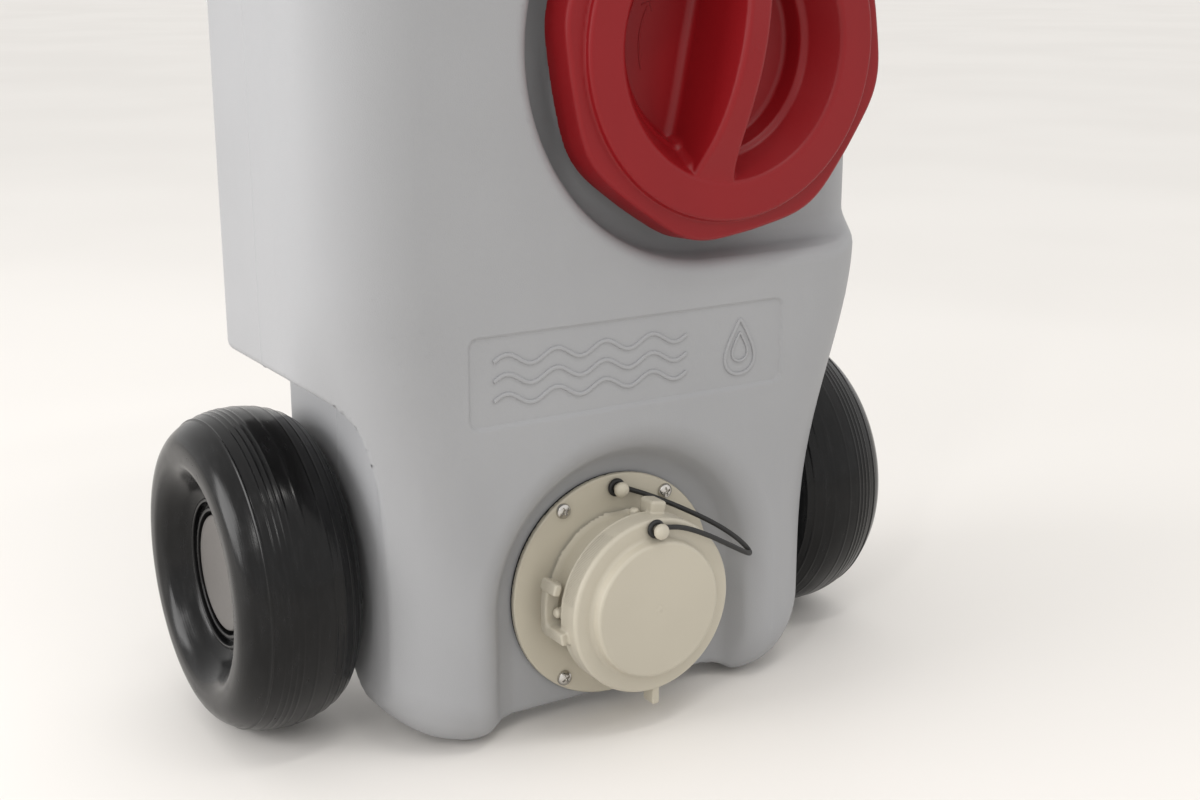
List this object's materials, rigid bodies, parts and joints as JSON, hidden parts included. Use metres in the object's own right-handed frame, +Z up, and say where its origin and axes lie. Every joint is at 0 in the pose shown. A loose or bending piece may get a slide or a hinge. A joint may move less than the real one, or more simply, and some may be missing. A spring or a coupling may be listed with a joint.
{
  "type": "portable waste tote",
  "caption": "Wheeled portable tank with a lobed screw filler cap, a bayonet outlet cap on a tether, a vent and a pull-out tow handle.",
  "frame": {"origin": "middle of the footprint, on the ground under the wheels and feet", "axes": "+Z up, -Y towards the front with the filler cap and outlet, +X to the right seen from the front"},
  "size_m": [0.47, 0.2636, 0.8793],
  "materials": {
    "tank_plastic": "matte moulded",
    "cap_plastic": "satin moulded",
    "fitting_plastic": "satin moulded",
    "wheel_plastic": "semi-gloss moulded",
    "hub_plastic": "satin",
    "steel": "plain",
    "aluminium": "anodised satin",
    "rubber": "matte",
    "grip_plastic": "textured"
  },
  "bodies": {
    "tank": {"axle": "steel", "axle_bush_left": "grip_plastic", "axle_bush_right": "grip_plastic", "axle_clip_left": "steel", "axle_clip_right": "steel", "axle_washer_left": "steel", "axle_washer_right": "steel", "cap_tether": "rubber", "clamp_lower_left": "grip_plastic", "clamp_lower_right": "grip_plastic", "clamp_screw_1": "steel", "clamp_screw_2": "steel", "clamp_screw_3": "steel", "clamp_screw_4": "steel", "clamp_screw_5": "steel", "clamp_screw_6": "steel", "clamp_screw_7": "steel", "clamp_screw_8": "steel", "clamp_upper_left": "grip_plastic", "clamp_upper_right": "grip_plastic", "outlet_flange": "fitting_plastic", "outlet_gasket": "rubber", "outlet_screw_1": "steel", "outlet_screw_2": "steel", "outlet_screw_3": "steel", "outlet_screw_4": "steel", "tank_shell": "tank_plastic", "tether_ring_flange": "rubber"},
    "filler_seal_body": {"filler_seal": "rubber"},
    "filler_cap_body": {"filler_cap": "cap_plastic"},
    "outlet_cap_body": {"outlet_cap": "fitting_plastic", "outlet_cap_seal": "rubber", "tether_ring_cap": "rubber"},
    "wheel_left_body": {"wheel_left": "wheel_plastic", "hub_cap_left": "hub_plastic"},
    "wheel_right_body": {"wheel_right": "wheel_plastic", "hub_cap_right": "hub_plastic"},
    "tow_handle": {"tow_grip": "grip_plastic", "tow_tube_left": "aluminium", "tow_tube_right": "aluminium", "tube_plug_left": "grip_plastic", "tube_plug_right": "grip_plastic"},
    "vent_seal_body": {"vent_seal": "rubber"},
    "vent_cap_body": {"vent_cap": "cap_plastic"}
  },
  "joints": [
    {"name": "filler_cap_turn", "type": "hinge", "parent": "filler_seal_body", "child": "filler_cap_body", "pos_m": [0.0573, -0.09525, 0.412], "axis": [0, -1, 0], "range_deg": [0, 810]},
    {"name": "filler_cap_lift", "type": "slide", "parent": "tank", "child": "filler_seal_body", "axis": [0, -1, 0], "range_m": [0, 0.0271]},
    {"name": "outlet_cap_turn", "type": "hinge", "parent": "tank", "child": "outlet_cap_body", "pos_m": [0, -0.09525, 0.083], "axis": [0, -1, 0], "range_deg": [0, 33]},
    {"name": "wheel_left_spin", "type": "hinge", "parent": "tank", "child": "wheel_left_body", "pos_m": [-0.197, 0.03175, 0.1], "axis": [1, 0, 0], "continuous": true},
    {"name": "wheel_right_spin", "type": "hinge", "parent": "tank", "child": "wheel_right_body", "pos_m": [0.197, 0.03175, 0.1], "axis": [1, 0, 0], "continuous": true},
    {"name": "tow_handle_pull", "type": "slide", "parent": "tank", "child": "tow_handle", "axis": [0, 0, 1], "range_m": [0, 0.302]},
    {"name": "vent_cap_turn", "type": "hinge", "parent": "vent_seal_body", "child": "vent_cap_body", "pos_m": [-0.125, -0.01225, 0.815], "axis": [0, 0, 1], "range_deg": [0, 540]},
    {"name": "vent_cap_lift", "type": "slide", "parent": "tank", "child": "vent_seal_body", "axis": [0, 0, 1], "range_m": [0, 0.0061]}
  ],
  "couplings": [
    {"joint": "filler_cap_lift", "follows": "filler_cap_turn", "m_per_rad": 0.0019099},
    {"joint": "vent_cap_lift", "follows": "vent_cap_turn", "m_per_rad": 0.00063662}
  ]
}
